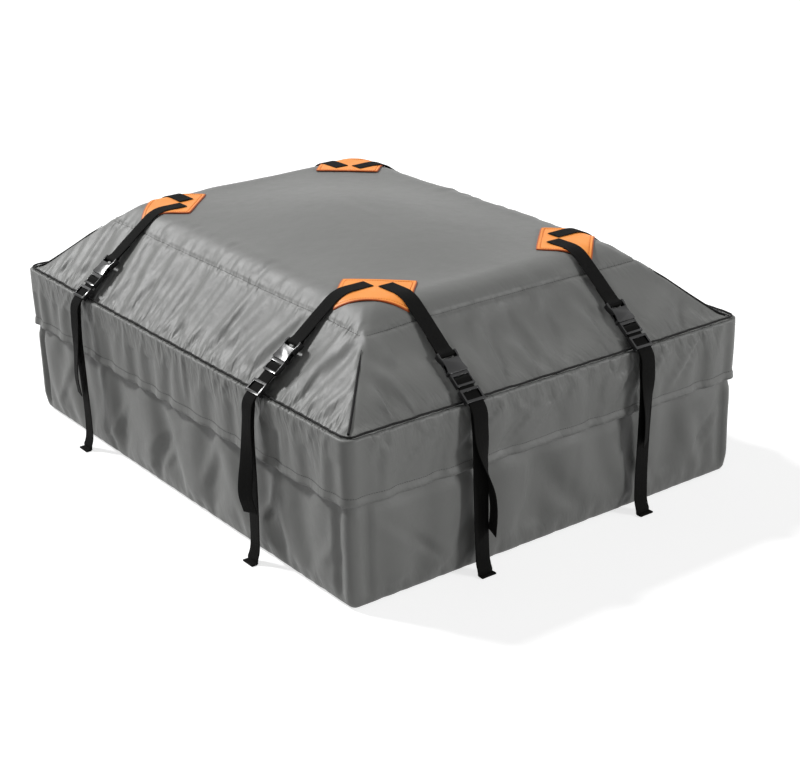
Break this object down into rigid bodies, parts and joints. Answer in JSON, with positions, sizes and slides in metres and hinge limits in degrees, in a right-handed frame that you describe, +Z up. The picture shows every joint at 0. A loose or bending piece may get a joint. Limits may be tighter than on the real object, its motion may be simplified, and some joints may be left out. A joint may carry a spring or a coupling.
{
  "type": "soft roof cargo bag",
  "caption": "Soft box-shaped car roof cargo bag with hipped top, covered waist zip, four corner patches and eight buckled straps.",
  "frame": {"origin": "middle of the base, on the surface that the bag rests on", "axes": "+X along the long side, +Y along the short side, +Z up"},
  "size_m": [1.189, 0.939, 0.47],
  "materials": {
    "shell_fabric": "grey PVC-coated polyester, fine plain weave, satin sheen",
    "webbing": "black woven polyester webbing, 30 mm",
    "buckle_plastic": "black moulded acetal, smooth and glossy",
    "patch_fabric": "orange coated fabric with darker bound edge",
    "piping": "black covered round cord sewn into the seams",
    "zip": "black woven zip tape with moulded teeth"
  },
  "bodies": {
    "bag": {"bottom_panel": "shell_fabric", "side_wall": "shell_fabric", "slope_wall": "shell_fabric", "top_panel": "shell_fabric", "storm_flap": "shell_fabric", "zip_lower_half": "zip", "zip_upper_half": "zip", "waist_piping": "piping", "hip_piping_front_right": "piping", "hip_piping_front_left": "piping", "hip_piping_back_right": "piping", "hip_piping_back_left": "piping", "corner_patch_front_right": "patch_fabric", "corner_patch_front_left": "patch_fabric", "corner_patch_back_right": "patch_fabric", "corner_patch_back_left": "patch_fabric", "upper_strap_front_right": "webbing", "lower_strap_front_right": "webbing", "buckle_socket_front_right": "buckle_plastic", "upper_strap_front_left": "webbing", "lower_strap_front_left": "webbing", "buckle_socket_front_left": "buckle_plastic", "upper_strap_back_right": "webbing", "lower_strap_back_right": "webbing", "buckle_socket_back_right": "buckle_plastic", "upper_strap_back_left": "webbing", "lower_strap_back_left": "webbing", "buckle_socket_back_left": "buckle_plastic", "upper_strap_right_front": "webbing", "lower_strap_right_front": "webbing", "buckle_socket_right_front": "buckle_plastic", "upper_strap_right_back": "webbing", "lower_strap_right_back": "webbing", "buckle_socket_right_back": "buckle_plastic", "upper_strap_left_front": "webbing", "lower_strap_left_front": "webbing", "buckle_socket_left_front": "buckle_plastic", "upper_strap_left_back": "webbing", "lower_strap_left_back": "webbing", "buckle_socket_left_back": "buckle_plastic"},
    "slider_left": {"zip_slider_left": "buckle_plastic"},
    "pull_left": {"zip_pull_left": "buckle_plastic"},
    "slider_right": {"zip_slider_right": "buckle_plastic"},
    "pull_right": {"zip_pull_right": "buckle_plastic"},
    "plug_front_right": {"buckle_plug_front_right": "buckle_plastic"},
    "glide_front_right": {"tri_glide_front_right": "buckle_plastic"},
    "plug_front_left": {"buckle_plug_front_left": "buckle_plastic"},
    "glide_front_left": {"tri_glide_front_left": "buckle_plastic"},
    "plug_back_right": {"buckle_plug_back_right": "buckle_plastic"},
    "glide_back_right": {"tri_glide_back_right": "buckle_plastic"},
    "plug_back_left": {"buckle_plug_back_left": "buckle_plastic"},
    "glide_back_left": {"tri_glide_back_left": "buckle_plastic"},
    "plug_right_front": {"buckle_plug_right_front": "buckle_plastic"},
    "glide_right_front": {"tri_glide_right_front": "buckle_plastic"},
    "plug_right_back": {"buckle_plug_right_back": "buckle_plastic"},
    "glide_right_back": {"tri_glide_right_back": "buckle_plastic"},
    "plug_left_front": {"buckle_plug_left_front": "buckle_plastic"},
    "glide_left_front": {"tri_glide_left_front": "buckle_plastic"},
    "plug_left_back": {"buckle_plug_left_back": "buckle_plastic"},
    "glide_left_back": {"tri_glide_left_back": "buckle_plastic"}
  },
  "joints": [
    {"name": "zip_slide_left", "type": "slide", "parent": "bag", "child": "slider_left", "axis": [-1, 0, 0], "range_m": [0, 0.48]},
    {"name": "pull_swing_left", "type": "hinge", "parent": "slider_left", "child": "pull_left", "pos_m": [-0.0078, -0.4294, 0.2897], "axis": [-1, 0, 0], "range_deg": [0, 5]},
    {"name": "zip_slide_right", "type": "slide", "parent": "bag", "child": "slider_right", "axis": [1, 0, 0], "range_m": [0, 0.48]},
    {"name": "pull_swing_right", "type": "hinge", "parent": "slider_right", "child": "pull_right", "pos_m": [0.0078, -0.4294, 0.2897], "axis": [-1, 0, 0], "range_deg": [0, 5]},
    {"name": "plug_release_front_right", "type": "slide", "parent": "bag", "child": "plug_front_right", "axis": [0, -0.7908, -0.612], "range_m": [0, 0.032], "deforming": ["lower_strap_front_right"]},
    {"name": "glide_slide_front_right", "type": "slide", "parent": "plug_front_right", "child": "glide_front_right", "axis": [0, 0.7908, 0.612], "range_m": [0, 0.019], "deforming": ["lower_strap_front_right"]},
    {"name": "plug_release_front_left", "type": "slide", "parent": "bag", "child": "plug_front_left", "axis": [0, -0.7908, -0.612], "range_m": [0, 0.032], "deforming": ["lower_strap_front_left"]},
    {"name": "glide_slide_front_left", "type": "slide", "parent": "plug_front_left", "child": "glide_front_left", "axis": [0, 0.7908, 0.612], "range_m": [0, 0.005], "deforming": ["lower_strap_front_left"]},
    {"name": "plug_release_back_right", "type": "slide", "parent": "bag", "child": "plug_back_right", "axis": [0, 0.7908, -0.612], "range_m": [0, 0.032], "deforming": ["lower_strap_back_right"]},
    {"name": "glide_slide_back_right", "type": "slide", "parent": "plug_back_right", "child": "glide_back_right", "axis": [0, -0.7908, 0.612], "range_m": [0, 0.005], "deforming": ["lower_strap_back_right"]},
    {"name": "plug_release_back_left", "type": "slide", "parent": "bag", "child": "plug_back_left", "axis": [0, 0.7908, -0.612], "range_m": [0, 0.032], "deforming": ["lower_strap_back_left"]},
    {"name": "glide_slide_back_left", "type": "slide", "parent": "plug_back_left", "child": "glide_back_left", "axis": [0, -0.7908, 0.612], "range_m": [0, 0.005], "deforming": ["lower_strap_back_left"]},
    {"name": "plug_release_right_front", "type": "slide", "parent": "bag", "child": "plug_right_front", "axis": [0.7908, 0, -0.612], "range_m": [0, 0.032], "deforming": ["lower_strap_right_front"]},
    {"name": "glide_slide_right_front", "type": "slide", "parent": "plug_right_front", "child": "glide_right_front", "axis": [-0.7908, 0, 0.612], "range_m": [0, 0.005], "deforming": ["lower_strap_right_front"]},
    {"name": "plug_release_right_back", "type": "slide", "parent": "bag", "child": "plug_right_back", "axis": [0.7908, 0, -0.612], "range_m": [0, 0.032], "deforming": ["lower_strap_right_back"]},
    {"name": "glide_slide_right_back", "type": "slide", "parent": "plug_right_back", "child": "glide_right_back", "axis": [-0.7908, 0, 0.612], "range_m": [0, 0.005], "deforming": ["lower_strap_right_back"]},
    {"name": "plug_release_left_front", "type": "slide", "parent": "bag", "child": "plug_left_front", "axis": [-0.7908, 0, -0.612], "range_m": [0, 0.032], "deforming": ["lower_strap_left_front"]},
    {"name": "glide_slide_left_front", "type": "slide", "parent": "plug_left_front", "child": "glide_left_front", "axis": [0.7908, 0, 0.612], "range_m": [0, 0.005], "deforming": ["lower_strap_left_front"]},
    {"name": "plug_release_left_back", "type": "slide", "parent": "bag", "child": "plug_left_back", "axis": [-0.7908, 0, -0.612], "range_m": [0, 0.032], "deforming": ["lower_strap_left_back"]},
    {"name": "glide_slide_left_back", "type": "slide", "parent": "plug_left_back", "child": "glide_left_back", "axis": [0.7908, 0, 0.612], "range_m": [0, 0.005], "deforming": ["lower_strap_left_back"]}
  ]
}
